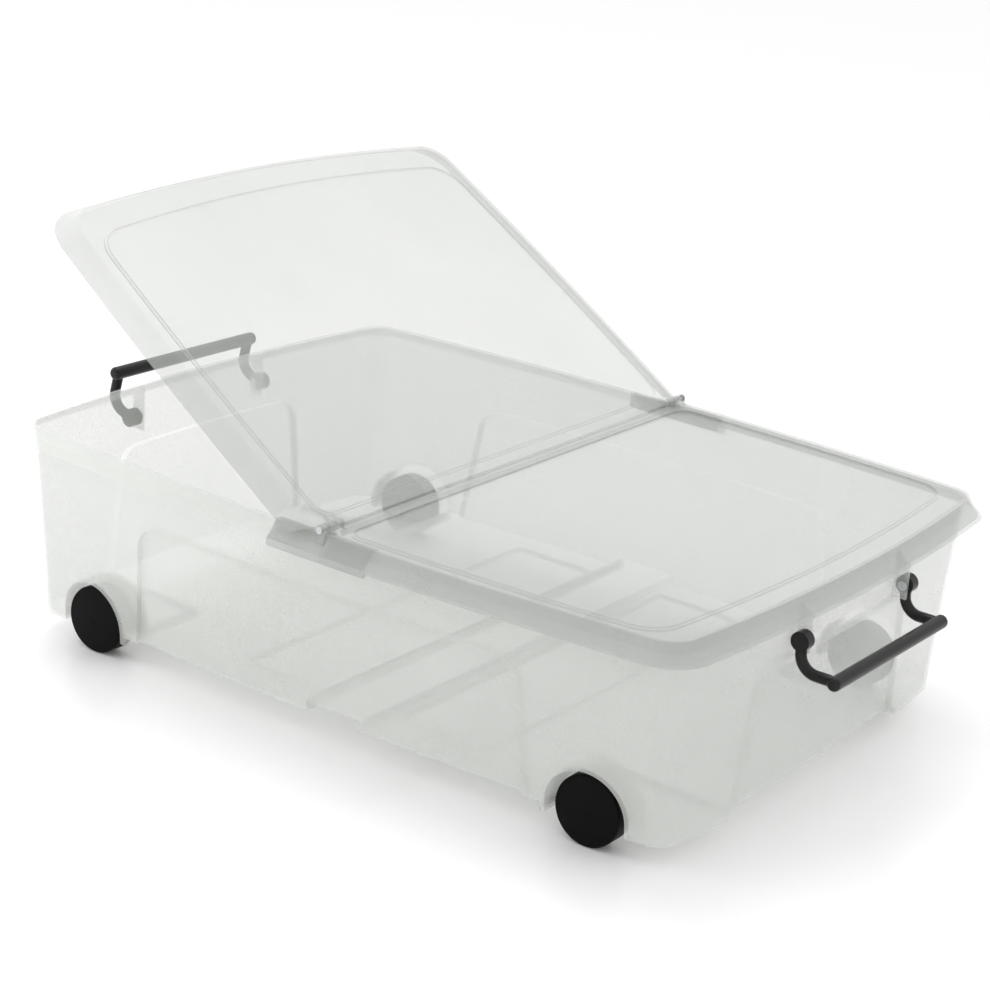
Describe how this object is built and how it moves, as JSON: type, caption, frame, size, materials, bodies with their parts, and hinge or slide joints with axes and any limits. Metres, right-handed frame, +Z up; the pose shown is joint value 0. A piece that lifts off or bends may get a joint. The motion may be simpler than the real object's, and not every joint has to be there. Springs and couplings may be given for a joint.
{
  "type": "under bed box",
  "caption": "Wide low translucent storage tub on wheels, with a lid in two hinged halves and a swinging bail handle at each end.",
  "frame": {"origin": "on the floor, under the middle of the whole box as it stands, from the raised left handle to the hanging right one; the tub's own middle is 8.6 mm towards -X", "axes": "+Z up, X along the box's long side, -Y the front long side"},
  "size_m": [0.8553, 0.6, 0.4369],
  "materials": {
    "frosted_tub": "satin",
    "frosted_lid": "satin",
    "black_moulding": "satin",
    "black_wheel": "matte",
    "pin_steel": "brushed"
  },
  "bodies": {
    "tub_body": {"tub": "frosted_tub", "hinge_clip_front": "frosted_lid", "hinge_clip_rear": "frosted_lid", "hinge_pin_front": "pin_steel", "hinge_pin_rear": "pin_steel", "handle_pin_front_left": "pin_steel", "handle_pin_front_right": "pin_steel", "handle_pin_rear_left": "pin_steel", "handle_pin_rear_right": "pin_steel", "axle_front_left": "pin_steel", "axle_front_right": "pin_steel", "axle_rear_left": "pin_steel", "axle_rear_right": "pin_steel"},
    "lid_left": {"lid_left": "frosted_lid"},
    "lid_right": {"lid_right": "frosted_lid"},
    "handle_left": {"handle_left": "black_moulding"},
    "handle_right": {"handle_right": "black_moulding"},
    "wheel_front_left": {"wheel_front_left": "black_wheel"},
    "wheel_front_right": {"wheel_front_right": "black_wheel"},
    "wheel_rear_left": {"wheel_rear_left": "black_wheel"},
    "wheel_rear_right": {"wheel_rear_right": "black_wheel"}
  },
  "joints": [
    {"name": "lid_left_hinge", "type": "hinge", "parent": "tub_body", "child": "lid_left", "pos_m": [0.00735, 0, 0.2215], "axis": [0, 1, 0], "range_deg": [-32.8, 54.2]},
    {"name": "lid_right_hinge", "type": "hinge", "parent": "tub_body", "child": "lid_right", "pos_m": [0.00735, 0, 0.2215], "axis": [0, -1, 0], "range_deg": [0, 87]},
    {"name": "handle_left_pivot", "type": "hinge", "parent": "tub_body", "child": "handle_left", "pos_m": [-0.39983, 0, 0.178], "axis": [0, 1, 0], "range_deg": [-102, 2.5]},
    {"name": "handle_right_pivot", "type": "hinge", "parent": "tub_body", "child": "handle_right", "pos_m": [0.38252, 0, 0.178], "axis": [0, -1, 0], "range_deg": [0, 104.5]},
    {"name": "wheel_front_left_spin", "type": "hinge", "parent": "tub_body", "child": "wheel_front_left", "pos_m": [-0.29515, -0.23763, 0.033], "axis": [0, 1, 0], "continuous": true},
    {"name": "wheel_front_right_spin", "type": "hinge", "parent": "tub_body", "child": "wheel_front_right", "pos_m": [0.27785, -0.23763, 0.033], "axis": [0, 1, 0], "continuous": true},
    {"name": "wheel_rear_left_spin", "type": "hinge", "parent": "tub_body", "child": "wheel_rear_left", "pos_m": [-0.29515, 0.23763, 0.033], "axis": [0, 1, 0], "continuous": true},
    {"name": "wheel_rear_right_spin", "type": "hinge", "parent": "tub_body", "child": "wheel_rear_right", "pos_m": [0.27785, 0.23763, 0.033], "axis": [0, 1, 0], "continuous": true}
  ]
}
